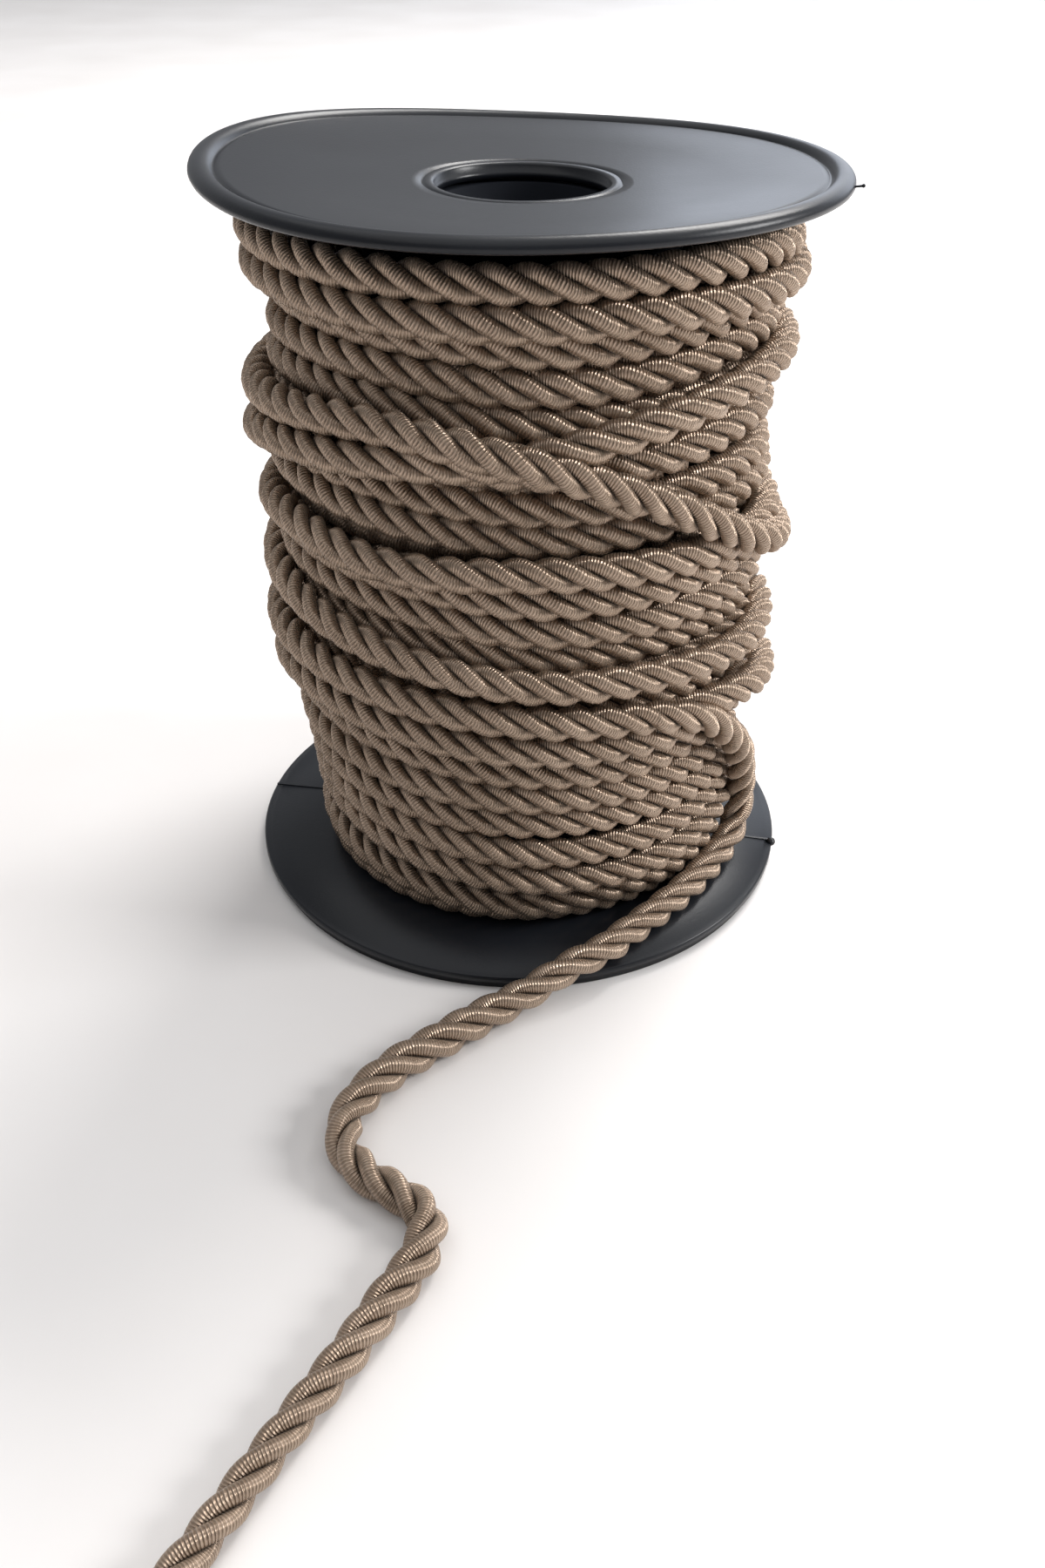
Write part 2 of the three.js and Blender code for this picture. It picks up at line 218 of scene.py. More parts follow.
# Small steps of the spool's profiles, each as its distance inside an edge and above or below it.
RIM_UNDERSIDE = ((0.9, 0.35), (0.45, 0.3), (0.2, 0.5))
BEAD_GROOVE = ((0, 0.45), (0.35, 0.45), (0.6, 0.15), (1.4, 0.12))
BORE_EDGE = ((-0.3, 0), (0, 0.3), (0, 1.2), (BORE_STEP, 1.3))
LOWER_EDGE = ((0.8, 0), (0.8, 1.3), (0, 1.6), (0, 2.7), (0.25, 2.95), (1.3, 3.0), (1.5, FLANGE_PLATE))

# Marks that the mould left: parting lines with a nub on the lower flange, a burr on the upper rim.
SEAM_ANGLES = (171, -12.2)
SEAM_START = 30
SEAM_SETBACK = 0.3
SEAM_WIDTH = 0.45
SEAM_HEIGHT = 0.3
NUB_SETBACK = 0.2
NUB_HEIGHT = 2.9
NUB_RADIUS = 0.9
BURR_ANGLE = -16
BURR_START = (-0.3, 1.1)
BURR_END = (1.1, 0.9)
BURR_WIDTH = 0.35
BURR_HEIGHT = 0.3
BURR_TIP = 0.3

# Thread wrapped round each strand.
THREAD_MAP = "threads"
THREAD_PITCH = 0.42
TROUGH_SHIFT = 0.25
WANDER = 0.8
WANDER_NOISE = {"Scale": 420.0, "Detail": 2.0}
PATCH_NOISE = {"Scale": 70.0, "Detail": 3.0}
CORD_SHADE = (0.285, 0.203, 0.143)
CORD_BODY = (0.385, 0.283, 0.206)
CORD_LIGHT = (0.50, 0.380, 0.288)
TONE_STOPS = (0.15, 0.33, 0.55)
THREAD_TONE = 0.14
PATCH_TONE = 0.5
# Painted light and shade of the thread ribs: each thread's crest lighter and the trough between threads
# darker, in step with the rib relief.
RIB_PAINTED_SHADE = 0.17
RIB_RELIEF = 0.6
THREAD_RELIEF = 0.15
CORD_BUMP = {"Strength": 1.0, "Distance": 0.00014}
# Painted shade: the thread's colour darkens to this colour in the grooves between strands, over this span
# across a strand, along a slightly ragged line.
PAINTED_GROOVE_SHADE = (0.05, 0.032, 0.022)
PAINTED_GROOVE_SPAN = {"From Min": 0.80, "From Max": 1.0}
PAINTED_GROOVE_RAGGEDNESS = 0.06
CORD_ROUGHNESS = 0.27
ROUGHNESS_SPREAD = 0.14
CORD_GLOSS = {
    "Metallic": 0.62,
    "Anisotropic": 0.9,
    "Anisotropic Rotation": 0.25,
    "Specular IOR Level": 0.9,
    "Sheen Weight": 0.15,
    "Sheen Roughness": 0.4,
    "Sheen Tint": (0.95, 0.82, 0.66, 1),
}

# Plastic of the flanges, and of the barrel, which is duller.
PLASTIC_DARK = (0.007, 0.008, 0.011)
PLASTIC_LIGHT = (0.012, 0.014, 0.018)
PLASTIC_ROUGHNESS = 0.26
PLASTIC_GLOSS = 0.3
BARREL_ROUGHNESS = 0.8
BARREL_GLOSS = 0.05
GRAIN_NOISE = {"Scale": 2600.0, "Detail": 2.0}
FLOW_NOISE = {"Scale": 38.0, "Detail": 4.0}
FLOW_ROUGHNESS = 0.14
FLOW_RELIEF = 2.0
PLASTIC_BUMP = {"Strength": 0.25, "Distance": 0.00006}

# Floor.
FLOOR_SIZE = 6
FLOOR_COLOUR = (0.83, 0.81, 0.80)
FLOOR_DULL = (0.79, 0.765, 0.75)
FLOOR_NOISE = {"Scale": 14.0, "Detail": 5.0}
FLOOR_ROUGHNESS = 0.45
FLOOR_ROUGHNESS_SPREAD = 0.2
CLOUD_STOPS = (0.3, 0.7)

# The room, dim in front and brighter behind, and its lights: place, the point that they face,
# size, power in watts and colour.
ROOM_DIM = (0.27, 0.27, 0.275)
ROOM_BRIGHT = (0.40, 0.41, 0.43)
ROOM_STOPS = (0.3, 0.85)
LIGHTS = {
    "window_behind": ((0.5, 0.8, 1.1), (0, 0, 0.05), (0.8, 0.5), 19, (1.0, 0.98, 0.96)),
    "window_right": ((1.2, -0.1, 0.65), (0, 0, 0.05), (0.4, 0.4), 13, (1, 1, 1)),
    "backdrop": ((0.75, 1.7, 0.46), (0.1, 0, 0.12), (1.3, 0.6), 4.5, (0.8, 0.87, 1.0)),
    "ceiling": ((0.0, -0.1, 1.6), (0, 0, 0.05), (2.6, 2.6), 17, (1, 1, 1)),
}


def make_camera():
    data = bpy.data.cameras.new("camera")
    data.sensor_width = SENSOR
    data.lens = SENSOR * FOCAL_PIXELS / FRAME_HEIGHT
    data.clip_start = NEAREST_SEEN
    camera = bpy.data.objects.new("camera", data)
    bpy.context.scene.collection.objects.link(camera)
    turn = Matrix.Rotation(-math.radians(CAMERA_YAW), 4, "Z")
    tilt = Matrix.Rotation(math.radians(90 - CAMERA_PITCH), 4, "X")
    roll = Matrix.Rotation(math.radians(CAMERA_ROLL), 4, "Z")
    camera.matrix_world = Matrix.Translation(CAMERA_PLACE) @ turn @ tilt @ roll
    bpy.context.scene.camera = camera


def ease(start, end, share):
    return start + (end - start) * share * share * (3 - 2 * share)


def spline(values, steps):
    """A uniform Catmull-Rom curve through the values, with that many steps to a span."""
    values = np.asarray(values, float)
    ends = np.concatenate([values[:1], values, values[-1:]])
    before, start, end, after = ends[:-3], ends[1:-2], ends[2:-1], ends[3:]
    leave = (end - before) / 2
    arrive = (after - start) / 2
    rows = []
    for step in range(steps):
        t = step / steps
        cubic = 2 * start - 2 * end + leave + arrive
        square = -3 * start + 3 * end - 2 * leave - arrive
        rows.append(cubic * t**3 + square * t**2 + leave * t + start)
    inside = np.stack(rows, axis=1).reshape(-1)
    return np.append(inside, values[-1])


def centripetal(points, steps):
    """A centripetal Catmull-Rom curve through points in space."""
    points = np.asarray(points, float)
    first = 2 * points[0] - points[1]
    last = 2 * points[-1] - points[-2]
    ends = np.vstack([first, points, last])
    made = []
    for p0, p1, p2, p3 in zip(ends[:-3], ends[1:-2], ends[2:-1], ends[3:]):
        d0, d1, d2 = (np.sqrt(np.linalg.norm(b - a)) for a, b in ((p0, p1), (p1, p2), (p2, p3)))
        leave = ((p1 - p0) / d0 - (p2 - p0) / (d0 + d1) + (p2 - p1) / d1) * d1
        arrive = ((p2 - p1) / d1 - (p3 - p1) / (d1 + d2) + (p3 - p2) / d2) * d1
        t = (np.arange(steps) / steps)[:, None]
        cubic = 2 * p1 - 2 * p2 + leave + arrive
        square = -3 * p1 + 3 * p2 - 2 * leave - arrive
        made.append(cubic * t**3 + square * t**2 + leave * t + p1)
    return np.vstack([*made, points[-1:]])


def run_knots(start):
    """Heights and reaches of a run at every twelfth of a turn, front from the table, back eased."""
    heights, reaches, _ = TURNS[start]
    knots = [(heights[0], ease(SUNK_REACH, reaches[0], share)) for share in LEAD_IN_SHARES]
    name = start
    while name:
        heights, (left, front, right), following = TURNS[name]
        for index, height in enumerate(heights):
            share = 2 * index / (FRONT_KNOTS - 1)
            reach = ease(left, front, share) if share < 1 else ease(front, right, share - 1)
            knots.append((height, reach))
        if name != LOOSE_TURN:
            goal_height, goal_reach = heights[-1], SUNK_REACH
            if following:
                goal_height, goal_reach = TURNS[following][0][0], TURNS[following][1][0]
            back_knots = KNOTS_A_TURN - FRONT_KNOTS
            for index in range(1, back_knots + 1):
                share = index / (back_knots + 1)
                knots.append((ease(heights[-1], goal_height, share), ease(right, goal_reach, share)))
        name = following
    return np.array(knots)


def lay_runs():
    """Every run's points, each run lifted where it crosses turns that were laid before it."""
    laid = [[] for _ in range(COLUMNS)]
    runs = {}
    for start in RUN_STARTS:
        knots = run_knots(start)
        heights = spline(knots[:, 0], SAMPLES_A_KNOT)
        reaches = spline(knots[:, 1], SAMPLES_A_KNOT)
        columns = (np.arange(len(heights)) - len(LEAD_IN_SHARES) * SAMPLES_A_KNOT) % COLUMNS
        lifted = reaches.copy()
        for index, column in enumerate(columns):
            for other_height, other_reach in laid[column]:
                apart = abs(other_height - heights[index])
                resting = min(reaches[index], other_reach) >= SURFACE_REACH
                if resting and apart < STACK_HEIGHT:
                    rise = math.sqrt(STACK_HEIGHT**2 - apart**2) * STACK_SOFTNESS
                    lifted[index] = max(lifted[index], other_reach + rise)
            laid[column].append((heights[index], lifted[index]))
        width = 2 * SMOOTHING_SAMPLES + 1
        padded = np.pad(lifted, SMOOTHING_SAMPLES, mode="edge")
        smooth = np.convolve(padded, np.ones(width) / width, mode="valid")
        angles = math.pi + columns / COLUMNS * 2 * math.pi
        runs[start] = np.column_stack([smooth * np.cos(angles), smooth * np.sin(angles), heights])
    return runs


def under_layer():
    """The even turns of the layer below, seen only through gaps."""
    low, high = UNDER_HEIGHTS
    turns = (high - low) / UNDER_PITCH
    angles = np.linspace(0, 2 * math.pi * turns, int(turns * COLUMNS))
    heights = np.linspace(low, high, len(angles))
    return np.column_stack([UNDER_REACH * np.cos(angles), UNDER_REACH * np.sin(angles), heights])


def evenly(points, step):
    """The same line with points one step apart."""
    lengths = np.concatenate([[0], np.cumsum(np.linalg.norm(np.diff(points, axis=0), axis=1))])
    count = max(2, int(round(lengths[-1] / step)) + 1)
    places = np.linspace(0, lengths[-1], count)
    return np.column_stack([np.interp(places, lengths, points[:, axis]) for axis in range(3)])


def unit(vectors):
    return vectors / np.linalg.norm(vectors, axis=-1, keepdims=True)


def outward_frames(points):
    """Tangents, and normals that point away from the spool's axis."""
    tangents = unit(np.gradient(points, axis=0))
    out = points * (1, 1, 0)
    normals = unit(out - (out * tangents).sum(1, keepdims=True) * tangents)
    return tangents, normals


def carry_normals(tangents, normal):
    """Normals carried along a line without twisting."""
    carried = [normal]
    for before, after in zip(tangents[:-1], tangents[1:]):
        turned = Matrix(np.eye(3).tolist())
        axis = np.cross(before, after)
        if np.linalg.norm(axis) > NO_TURN:
            angle = math.atan2(np.linalg.norm(axis), float(before @ after))
            turned = Matrix.Rotation(angle, 3, Vector(axis))
        step = np.array(turned @ Vector(carried[-1]))
        step -= (step @ after) * after
        carried.append(step / np.linalg.norm(step))
    return np.array(carried)


def strand_section(sides):
    """One strand's outline in the cord's section, from groove to groove, as radius and angle."""
    turn = np.linspace(0, math.pi, SECTION_SAMPLES)
    across = STRAND_CENTRE + STRAND_THICK * np.cos(turn)
    along = STRAND_WIDE * np.sin(turn)
    meets = np.argmax(np.arctan2(along, across) >= math.pi / STRANDS)
    picked = np.linspace(-turn[meets], turn[meets], sides)
    x = STRAND_CENTRE + STRAND_THICK * np.cos(picked)
    y = STRAND_WIDE * np.sin(picked)
    return np.hypot(x, y), np.arctan2(y, x)


def smooth_piece(name, vertices, faces):
    mesh = bpy.data.meshes.new(name)
    mesh.from_pydata(vertices.tolist(), [], faces)
    mesh.polygons.foreach_set("use_smooth", np.ones(len(mesh.polygons), bool))
    piece = bpy.data.objects.new(name, mesh)
    bpy.context.scene.collection.objects.link(piece)
    return piece


def cord_faces(count, ring):
    """Quads between the rings of points, and a fan of triangles over each end."""
    around = np.arange(ring)
    beside = (around + 1) % ring
    starts = np.arange(count - 1)[:, None] * ring
    low, low_beside = starts + around, starts + beside
    quads = np.stack([low, low_beside, low_beside + ring, low + ring], axis=-1).reshape(-1, 4)
    first, last = count * ring, count * ring + 1
    end = (count - 1) * ring
    near = np.column_stack([np.full(ring, first), beside, around])
    far = np.column_stack([np.full(ring, last), end + around, end + beside])
    return quads.tolist() + near.tolist() + far.tolist()


def thread_places(strand_lengths, radii, widest):
    """Every corner's place on the threads: across its strand, and along it with the threads' slant."""
    a_strand = len(radii)
    ring = STRANDS * a_strand
    shares = (np.arange(ring) % a_strand) / a_strand
    offsets = np.tile(radii, STRANDS) * widest * (2 * shares - 1) * THREAD_SLANT
    beside = np.roll(offsets, -1)
    beside[a_strand - 1 :: a_strand] = -offsets[::a_strand]
    low, high = strand_lengths[:-1, None], strand_lengths[1:, None]
    u = np.stack([shares, shares + 1 / a_strand, shares + 1 / a_strand, shares], axis=-1)
    v = np.stack([low + offsets, low + beside, high + beside, high + offsets], axis=-1)
    sides = np.stack([np.broadcast_to(u[None], v.shape), v], axis=-1).reshape(-1, 2)
    ends = np.zeros((6 * ring, 2))
    return np.vstack([sides, ends])


def sharpen_grooves(mesh, count, ring, a_strand):
    """Sharp edges where two strands meet."""
    edges = np.zeros(2 * len(mesh.edges), int)
    mesh.edges.foreach_get("vertices", edges)
    pairs = edges.reshape(-1, 2)
    groove = (pairs < count * ring).all(1) & (pairs % ring % a_strand == 0).all(1)
    sharp = mesh.attributes.new("sharp_edge", "BOOLEAN", "EDGE")
    sharp.data.foreach_set("value", groove)


def cord_piece(name, points, normals, twist, strand_lengths, sides, squash):
    """A closed cord of twisted strands along the points, with its threads' places in a UV map."""
    binormals = np.cross(unit(np.gradient(points, axis=0)), normals)
    radii, angles = (part[:-1] for part in strand_section(sides))
    a_strand = len(radii)
    ring = STRANDS * a_strand
    round_angles = np.concatenate([angles + 2 * math.pi * k / STRANDS for k in range(STRANDS)])
    round_radii = np.tile(radii, STRANDS)
    turned = twist[:, None] + round_angles[None, :]
    out = squash[:, :1] * round_radii * np.cos(turned)
    side = squash[:, 1:] * round_radii * np.sin(turned)
    rings = points[:, None] + out[..., None] * normals[:, None] + side[..., None] * binormals[:, None]
    vertices = np.vstack([rings.reshape(-1, 3), points[:1], points[-1:]]) * MM
    piece = smooth_piece(name, vertices, cord_faces(len(points), ring))
    places = thread_places(strand_lengths, radii, angles.max())
    piece.data.uv_layers.new(name=THREAD_MAP).data.foreach_set("uv", places.ravel())
    sharpen_grooves(piece.data, len(points), ring, a_strand)
    piece.data.update()
    return piece


def twist_of(points, lay):
    """Turning angle of the strands along a line, and the length run along a strand."""
    steps = np.linalg.norm(np.diff(points, axis=0), axis=1)
    lays = (lay[1:] + lay[:-1]) / 2
    angle = np.concatenate([[0], np.cumsum(2 * math.pi * steps / lays)])
    stretch = np.sqrt(1 + (2 * math.pi * STRAND_CENTRE / lays) ** 2)
    return angle, np.concatenate([[0], np.cumsum(steps * stretch)])


def wound_piece(name, points, sides, lay, phase=0.0):
    _, normals = outward_frames(points)
    twist, strand_lengths = twist_of(points, np.full(len(points), lay))
    squash = np.tile(WOUND_SQUASH, (len(points), 1))
    return cord_piece(name, points, normals, twist + phase, strand_lengths, sides, squash)


def joined_cord(run):
    """The last run and the loose end as one line, and where the loose end starts on it."""
    loose = centripetal(LOOSE_END, ROUTE_STEPS)
    keep = np.linalg.norm(run - loose[0], axis=1) > JOIN_REACH
    cut = len(run) - np.argmax(keep[::-1])
    line = evenly(np.vstack([run[:cut], loose[ROUTE_STEPS // 2 :]]), LOOSE_STEP)
    start = int(np.argmin(np.linalg.norm(line - loose[0], axis=1)))
    window = int(2 * JOIN_REACH / LOOSE_STEP)
    blurred = line.copy()
    for index in range(start - window, start + window):
        share = 1 - abs(index - start) / window
        spread = max(1, int(window * share / 2))
        blurred[index] = line[index - spread : index + spread + 1].mean(0)
    return blurred, start


def wound_and_loose(run):
    """Pieces of the last run, then the loose end, with one unbroken twist."""
    line, start = joined_cord(run)
    tangents, normals = outward_frames(line)
    normals[start:] = carry_normals(tangents[start:], normals[start])
    lengths = np.arange(len(line)) * LOOSE_STEP
    share = np.clip((lengths - lengths[start]) / LAY_CHANGE, 0, 1)
    twist, strand_lengths = twist_of(line, ease(WOUND_LAY, FREE_LAY, share))
    squash = np.array(WOUND_SQUASH) + (1 - np.array(WOUND_SQUASH)) * share[:, None]
    squash *= np.interp(lengths - lengths[start], *zip(*LOOSE_THICKNESS))[:, None]

    def stretch(name, places, sides):
        frames = line[places], normals[places], twist[places], strand_lengths[places]
        return cord_piece(name, *frames, sides, squash[places])

    picked = np.round(np.arange(0, start + 1, WOUND_STEP / LOOSE_STEP)).astype(int)
    picked = np.unique(np.append(picked, start))
    half = len(picked) // 2
    rest = slice(start, None)
    wound = [
        stretch("cord_upper_turns", picked[: half + 1], WOUND_SIDES),
        stretch("cord_crossing_turns", picked[half:], WOUND_SIDES),
    ]
    return wound, stretch("cord_loose_end", rest, LOOSE_SIDES), line[rest]


def lathe(name, profile, warp=None):
    """A turned piece from a closed profile of radius and height."""
    profile = np.asarray(profile, float)
    angles = np.arange(SPOOL_SIDES) / SPOOL_SIDES * 2 * math.pi
    radius, height = profile[:, 0], profile[:, 1]
    x = radius[None] * np.cos(angles)[:, None]
    y = radius[None] * np.sin(angles)[:, None]
    z = np.broadcast_to(height[None], x.shape).copy()
    if warp:
        z += warp(angles[:, None], radius[None])
    rows = len(profile)
    vertices = np.stack([x, y, z], axis=-1).reshape(-1, 3) * MM
    column = np.arange(SPOOL_SIDES)[:, None] * rows
    after = ((np.arange(SPOOL_SIDES) + 1) % SPOOL_SIDES)[:, None] * rows
    row = np.arange(rows)[None]
    above = (row + 1) % rows
    faces = np.stack([column + row, after + row, after + above, column + above], axis=-1)
    return smooth_piece(name, vertices, faces.reshape(-1, 4).tolist())


def rim_warp(angle, radius):
    height = sum(c * np.cos(turns * angle) + s * np.sin(turns * angle) for turns, c, s in RIM_WAVES)
    return height * (radius / FLANGE_RADIUS) ** 2


def on_rim(angle, radius, height):
    turn = math.radians(angle)
    return (radius * math.cos(turn), radius * math.sin(turn), height)


def with_moulding_marks(piece, bars, beads):
    """The piece with thin raised bars, from one point to another, and small beads of flash."""
    made = bmesh.new()
    made.from_mesh(piece.data)
    for start, end, width, height in bars:
        start, end = Vector(start) * MM, Vector(end) * MM
        turn = (end - start).to_track_quat("X", "Z").to_matrix().to_4x4()
        size = Matrix.Diagonal(((end - start).length, width * MM, height * MM, 1))
        bmesh.ops.create_cube(made, size=1, matrix=Matrix.Translation((start + end) / 2) @ turn @ size)
    for place, radius in beads:
        spot = Matrix.Translation(Vector(place) * MM)
        bmesh.ops.create_icosphere(made, subdivisions=2, radius=radius * MM, matrix=spot)
    made.to_mesh(piece.data)
    made.free()
    return piece


def upper_flange():
    """The dished upper flange: a plate, a rounded bead with a groove inside it, and a slit collar."""
    inner = FLANGE_RADIUS - BEAD_WIDTH
    middle = (BORE_RADIUS + FLANGE_RADIUS) / 2
    slit = BORE_RADIUS + COLLAR_WIDTH
    half = BEAD_WIDTH / 2
    widest = RIM_TOP - BEAD_HEIGHT
    dish_edge = RIM_TOP - BEAD_DROP
    bead = [
        (FLANGE_RADIUS - half + half * math.cos(turn), widest + BEAD_HEIGHT * math.sin(turn))
        for turn in np.linspace(0, BEAD_ARC, BEAD_STEPS)
    ]
    piece = lathe("flange_upper", [
        (BORE_RADIUS, UPPER_FACE),
        (middle, UPPER_FACE + FACE_RISE),
        (inner, RIM_FACE),
        *((FLANGE_RADIUS - inset, RIM_FACE + rise) for inset, rise in RIM_UNDERSIDE),
        *bead,
        *((inner - inset, dish_edge - depth) for inset, depth in BEAD_GROOVE),
        (middle, DISH_FACE + DISH_RISE),
        (slit + LEDGE_WIDTH, DISH_FACE + LEDGE_RISE),
        (slit + SLIT_SIZE, DISH_FACE),
        (slit + SLIT_SIZE / 2, DISH_FACE - SLIT_SIZE),
        (slit, DISH_FACE),
        *((BORE_RADIUS - inset, DISH_FACE - depth) for inset, depth in BORE_EDGE),
        (BORE_RADIUS - BORE_STEP, UPPER_FACE),
    ], rim_warp)
    start, tip = (
        on_rim(BURR_ANGLE, FLANGE_RADIUS + reach, RIM_TOP - drop) for reach, drop in (BURR_START, BURR_END)
    )
    return with_moulding_marks(piece, [(start, tip, BURR_WIDTH, BURR_HEIGHT)], [(tip, BURR_TIP)])


def lower_flange():
    """The flat lower flange, with a step near its edge and the mould's parting lines."""
    piece = lathe("flange_lower", [
        (BORE_RADIUS, 0),
        *((FLANGE_RADIUS - inset, height) for inset, height in LOWER_EDGE),
        (BORE_RADIUS, FLANGE_PLATE),
    ])
    seams = []
    for angle in SEAM_ANGLES:
        start = on_rim(angle, SEAM_START, FLANGE_PLATE)
        end = on_rim(angle, FLANGE_RADIUS - SEAM_SETBACK, FLANGE_PLATE)
        seams.append((start, end, SEAM_WIDTH, SEAM_HEIGHT))
    nub = on_rim(SEAM_ANGLES[1], FLANGE_RADIUS - NUB_SETBACK, NUB_HEIGHT)
    return with_moulding_marks(piece, seams, [(nub, NUB_RADIUS)])


def barrel():
    return lathe("barrel_tube", [
        (BARREL_BORE, BARREL_FOOT),
        (BARREL_RADIUS, BARREL_FOOT),
        (BARREL_RADIUS, BARREL_TOP),
        (BARREL_BORE, BARREL_TOP),
    ])


class Shader:
    """Short ways to add and join a material's nodes."""

    def __init__(self, name):
        self.material = bpy.data.materials.new(name)
        self.material.use_nodes = True
        self.tree = self.material.node_tree
        self.surface = self.tree.nodes["Principled BSDF"]

    def node(self, kind, inputs=(), **settings):
        made = self.tree.nodes.new(kind)
        for key, value in settings.items():
            setattr(made, key, value)
        for key, value in dict(inputs).items():
            self.put(made.inputs[key], value)
        return made

    def put(self, socket, value):
        if isinstance(value, bpy.types.NodeSocket):
            self.tree.links.new(value, socket)
        else:
            socket.default_value = value

    def math(self, operation, *values):
        made = self.node("ShaderNodeMath", operation=operation)
        for index, value in enumerate(values):
            self.put(made.inputs[index], value)
        return made.outputs[0]

    def noise(self, place, settings):
        return self.node("ShaderNodeTexNoise", {"Vector": place, **settings}).outputs["Fac"]

    def ramp(self, value, *stops):
        made = self.node("ShaderNodeValToRGB", {"Fac": value})
        elements = made.color_ramp.elements
        while len(elements) < len(stops):
            elements.new(0.5)
        for element, (place, colour) in zip(elements, stops):
            element.position = place
            element.color = (*colour, 1)
        return made.outputs["Color"]

    def dress(self, colour, roughness, height, bump):
        """Base colour, roughness and relief."""
        self.put(self.surface.inputs["Base Color"], colour)
        self.put(self.surface.inputs["Roughness"], roughness)
        relief = self.node("ShaderNodeBump", {"Height": height, **bump})
        self.put(self.surface.inputs["Normal"], relief.outputs["Normal"])


def paint_groove_shade(s, thread, across, each):
    """The thread's colour with painted shade, darkened into the grooves between strands along a slightly
    ragged line.
    """
    aside = s.math("ABSOLUTE", s.math("SUBTRACT", s.math("MULTIPLY", across, 2.0), 1.0))
    ragged = s.math("MULTIPLY", s.math("SUBTRACT", each, 0.5), PAINTED_GROOVE_RAGGEDNESS)
    groove = s.node("ShaderNodeMapRange", {"Value": s.math("ADD", aside, ragged), **PAINTED_GROOVE_SPAN})
    mix = s.node("ShaderNodeMix", data_type="RGBA")
    s.put(mix.inputs["Factor"], groove.outputs["Result"])
    s.put(mix.inputs["A"], thread)
    s.put(mix.inputs["B"], (*PAINTED_GROOVE_SHADE, 1))
    return next(socket for socket in mix.outputs if socket.type == "RGBA")


def cord_material():
    """Silky thread wrapped round each strand, with fine ribs, uneven threads, painted light and shade on
    the ribs and painted shade in the grooves.
    """
    s = Shader("wrapped_thread")
    place = s.node("ShaderNodeUVMap", uv_map=THREAD_MAP).outputs["UV"]
    split = s.node("ShaderNodeSeparateXYZ", {"Vector": place})
    solid = s.node("ShaderNodeTexCoord").outputs["Object"]
    wander = s.noise(solid, WANDER_NOISE)
    patches = s.noise(solid, PATCH_NOISE)
    along = s.math("DIVIDE", split.outputs["Y"], THREAD_PITCH)
    along = s.math("ADD", along, s.math("MULTIPLY", wander, WANDER))
    rib = s.math("SINE", s.math("MULTIPLY", along, 2 * math.pi))
    number = s.math("FLOOR", s.math("ADD", along, TROUGH_SHIFT))
    each = s.node("ShaderNodeTexWhiteNoise", {"W": number}, noise_dimensions="1D").outputs["Value"]
    height = s.math("ADD", s.math("MULTIPLY", rib, RIB_RELIEF), s.math("MULTIPLY", each, THREAD_RELIEF))
    tone = s.math("ADD", s.math("MULTIPLY", each, THREAD_TONE), s.math("MULTIPLY", patches, PATCH_TONE))
    # Painted light and shade: the rib wave, which also makes the relief, lightens each thread's crest and
    # darkens the trough between threads.
    tone = s.math("ADD", tone, s.math("MULTIPLY", rib, RIB_PAINTED_SHADE))
    thread = s.ramp(tone, *zip(TONE_STOPS, (CORD_SHADE, CORD_BODY, CORD_LIGHT)))
    roughness = s.math("ADD", CORD_ROUGHNESS, s.math("MULTIPLY", each, ROUGHNESS_SPREAD))
    # Painted shade in the grooves between strands.
    s.dress(paint_groove_shade(s, thread, split.outputs["X"], each), roughness, height, CORD_BUMP)
    tangent = s.node("ShaderNodeTangent", direction_type="UV_MAP", uv_map=THREAD_MAP)
    s.put(s.surface.inputs["Tangent"], tangent.outputs["Tangent"])
    for socket, value in CORD_GLOSS.items():
        s.surface.inputs[socket].default_value = value
    return s.material


def plastic_material(name, roughness, gloss):
    """Moulded black plastic with a fine satin grain, faint flow marks and rubbed patches."""
    s = Shader(name)
    solid = s.node("ShaderNodeTexCoord").outputs["Object"]
    grain = s.noise(solid, GRAIN_NOISE)
    flow = s.noise(solid, FLOW_NOISE)
    colour = s.ramp(flow, *zip(CLOUD_STOPS, (PLASTIC_DARK, PLASTIC_LIGHT)))
    rough = s.math("ADD", roughness, s.math("MULTIPLY", flow, FLOW_ROUGHNESS))
    height = s.math("ADD", grain, s.math("MULTIPLY", flow, FLOW_RELIEF))
    s.dress(colour, rough, height, PLASTIC_BUMP)
    s.surface.inputs["Specular IOR Level"].default_value = gloss
    return s.material


def floor_material():
    """A pale, faintly clouded surface."""
    s = Shader("pale_floor")
    solid = s.node("ShaderNodeTexCoord").outputs["Object"]
    cloud = s.noise(solid, FLOOR_NOISE)
    s.put(s.surface.inputs["Base Color"], s.ramp(cloud, *zip(CLOUD_STOPS, (FLOOR_DULL, FLOOR_COLOUR))))
    rough = s.math("ADD", FLOOR_ROUGHNESS, s.math("MULTIPLY", cloud, FLOOR_ROUGHNESS_SPREAD))
    s.put(s.surface.inputs["Roughness"], rough)
    return s.material


def floor():
    half = FLOOR_SIZE / 2
    corners = [(-half, -half, 0), (half, -half, 0), (half, half, 0), (-half, half, 0)]
    mesh = bpy.data.meshes.new("floor")
    mesh.from_pydata(corners, [], [(0, 1, 2, 3)])
    piece = bpy.data.objects.new("floor", mesh)
    bpy.context.scene.collection.objects.link(piece)
    mesh.materials.append(floor_material())


def area_light(name, place, target, size, power, colour):
    data = bpy.data.lights.new(name, "AREA")
    data.shape = "RECTANGLE"
    data.size, data.size_y = size
    data.energy = power
    data.color = colour
    light = bpy.data.objects.new(name, data)
    bpy.context.scene.collection.objects.link(light)
    light.location = place
    light.rotation_euler = (Vector(target) - Vector(place)).to_track_quat("-Z", "Y").to_euler()


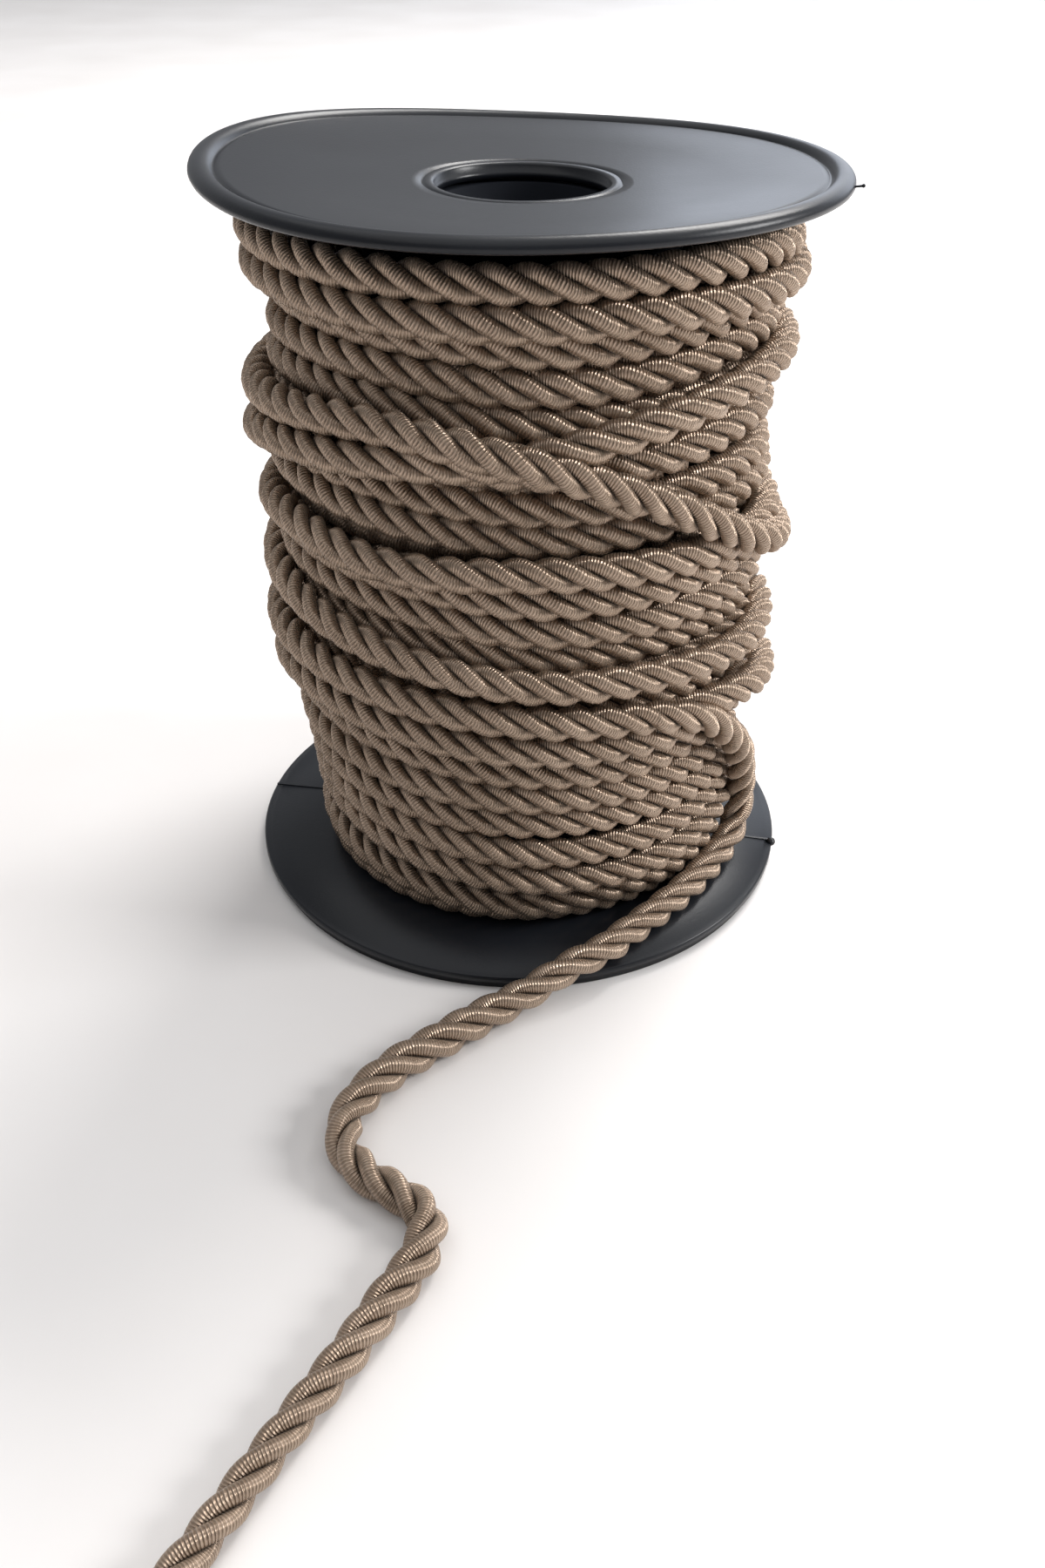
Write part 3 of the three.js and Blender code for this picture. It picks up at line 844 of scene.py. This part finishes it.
def room():
    """A pale room all round, dim in front and brighter behind."""
    world = bpy.data.worlds.new("studio")
    bpy.context.scene.world = world
    world.use_nodes = True
    tree = world.node_tree
    around = tree.nodes.new("ShaderNodeTexCoord")
    split = tree.nodes.new("ShaderNodeSeparateXYZ")
    ramp = tree.nodes.new("ShaderNodeValToRGB")
    share = tree.nodes.new("ShaderNodeMapRange")
    share.inputs["From Min"].default_value = -1.0
    tree.links.new(around.outputs["Generated"], split.inputs[0])
    tree.links.new(split.outputs["Y"], share.inputs["Value"])
    tree.links.new(share.outputs["Result"], ramp.inputs["Fac"])
    tree.links.new(ramp.outputs["Color"], tree.nodes["Background"].inputs["Color"])
    for element, place, colour in zip(ramp.color_ramp.elements, ROOM_STOPS, (ROOM_DIM, ROOM_BRIGHT)):
        element.position = place
        element.color = (*colour, 1)


def studio():
    """The floor, the room and its lights, shown without a film look."""
    floor()
    room()
    for name, settings in LIGHTS.items():
        area_light(name, *settings)
    bpy.context.scene.view_settings.view_transform = "Standard"


def place_piece(piece, material, node):
    piece.data.materials.append(material)
    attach(piece, "root")
    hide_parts(node)


def cords():
    """The wound cords, in five pieces, and the loose end."""
    runs = lay_runs()
    wound, loose, loose_path = wound_and_loose(runs["a"])
    lower = evenly(runs["p"], WOUND_STEP)
    between = evenly(runs["o"], WOUND_STEP)
    under = evenly(under_layer(), UNDER_STEP)
    wound.append(wound_piece("cord_lower_turns", lower, WOUND_SIDES, LOWER_LAY, LOWER_PHASE))
    wound.append(wound_piece("cord_middle_turns", between, WOUND_SIDES, WOUND_LAY, MIDDLE_PHASE))
    wound.append(wound_piece("cord_under_layer", under, UNDER_SIDES, WOUND_LAY))
    thread = cord_material()
    for piece in wound:
        place_piece(piece, thread, "winding")
    place_piece(loose, thread, "cord_tail")


def spool():
    """Both flanges and the barrel."""
    plastic = plastic_material("moulded_plastic", PLASTIC_ROUGHNESS, PLASTIC_GLOSS)
    inside = plastic_material("barrel_plastic", BARREL_ROUGHNESS, BARREL_GLOSS)
    place_piece(upper_flange(), plastic, "flange_top")
    place_piece(lower_flange(), plastic, "flange_bottom")
    place_piece(barrel(), inside, "barrel")


def main():
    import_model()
    make_camera()
    cords()
    spool()
    studio()


main()
